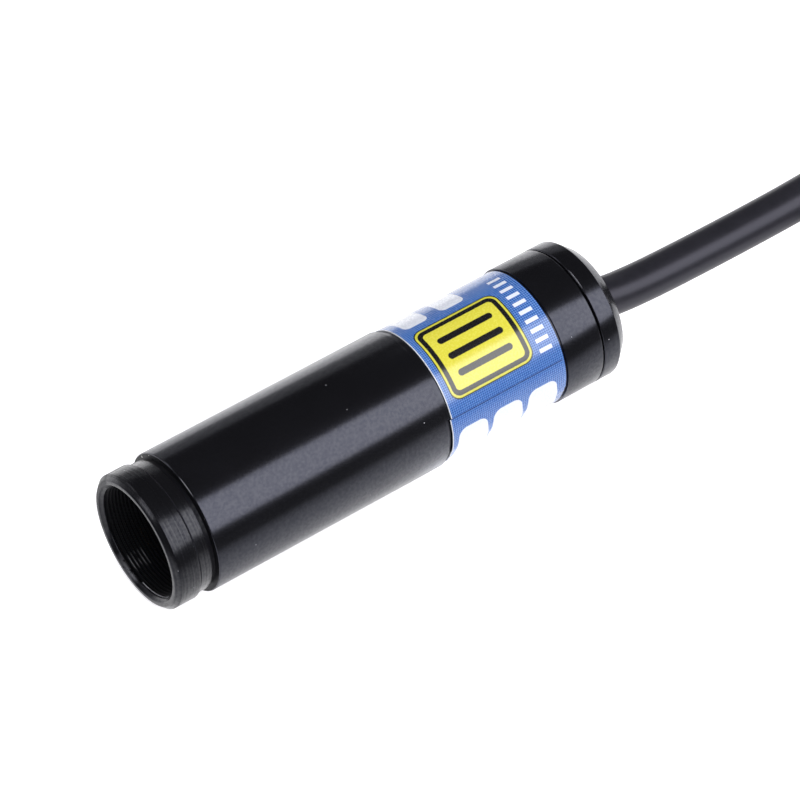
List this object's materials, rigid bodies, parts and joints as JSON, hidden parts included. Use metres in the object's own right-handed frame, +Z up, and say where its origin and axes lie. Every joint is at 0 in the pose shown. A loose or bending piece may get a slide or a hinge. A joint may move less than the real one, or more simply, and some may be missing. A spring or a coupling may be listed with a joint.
{
  "type": "laser diode module",
  "caption": "Slim cylindrical laser diode module: black turned housing with a threaded mouth, blue label band, end cap and a flexible cable in a tied hank.",
  "frame": {"origin": "on the surface that the barrel lies on, under the middle of the turned body", "axes": "+X along the module's axis from the mouth to the cable, so the beam leaves along -X; +Z up"},
  "size_m": [0.2067, 0.0506, 0.019],
  "materials": {
    "black_anodised": "satin black anodised, fine turning marks",
    "label_film": "printed blue film, satin",
    "bare_aluminium": "turned, bare",
    "brass": "turned, bare",
    "spring_steel": "drawn wire",
    "plated_steel": "gold plated",
    "lens_glass": "clear, coated",
    "board_laminate": "green solder mask",
    "chip_mould": "moulded, black",
    "tantalum_mould": "moulded, yellow",
    "trimmer_body": "moulded, blue",
    "sleeve_film": "amber film",
    "seal_rubber": "black nitrile",
    "cable_jacket": "satin black jacket",
    "shrink_sleeve": "shrunk on, black",
    "tie_plastic": "plastic coated wire",
    "core_red": "red insulation",
    "core_black": "black insulation",
    "core_white": "white insulation",
    "tinned_copper": "tinned strands"
  },
  "bodies": {
    "root": {"housing": "black_anodised", "rear_cap": "black_anodised", "label_wrap": "label_film", "cap_o_ring": "seal_rubber", "lens_lock_ring": "brass", "lens_cell": "brass", "collimating_lens": "lens_glass", "lens_retainer": "brass", "focus_spring": "spring_steel", "diode_holder": "bare_aluminium", "diode_base": "plated_steel", "diode_can": "plated_steel", "diode_window": "lens_glass", "diode_pins": "plated_steel", "diode_clamp_ring": "brass", "insulating_sleeve": "sleeve_film", "driver_board": "board_laminate", "driver_chip": "chip_mould", "power_transistor": "chip_mould", "trimmer": "trimmer_body", "trimmer_screw": "brass", "capacitors": "tantalum_mould", "resistors": "chip_mould", "choke": "chip_mould", "protection_diode": "chip_mould", "wire_red_inner": "core_red", "wire_black_inner": "core_black", "wire_white_inner": "core_white", "cable_crimp": "brass", "gland_ring": "brass", "cable_seal": "seal_rubber", "cable": "cable_jacket", "cable_coil": "cable_jacket", "hank_ties": "tie_plastic", "end_sleeve": "shrink_sleeve", "wire_red": "core_red", "wire_black": "core_black", "wire_white": "core_white", "wire_tips": "tinned_copper"}
  },
  "joints": []
}
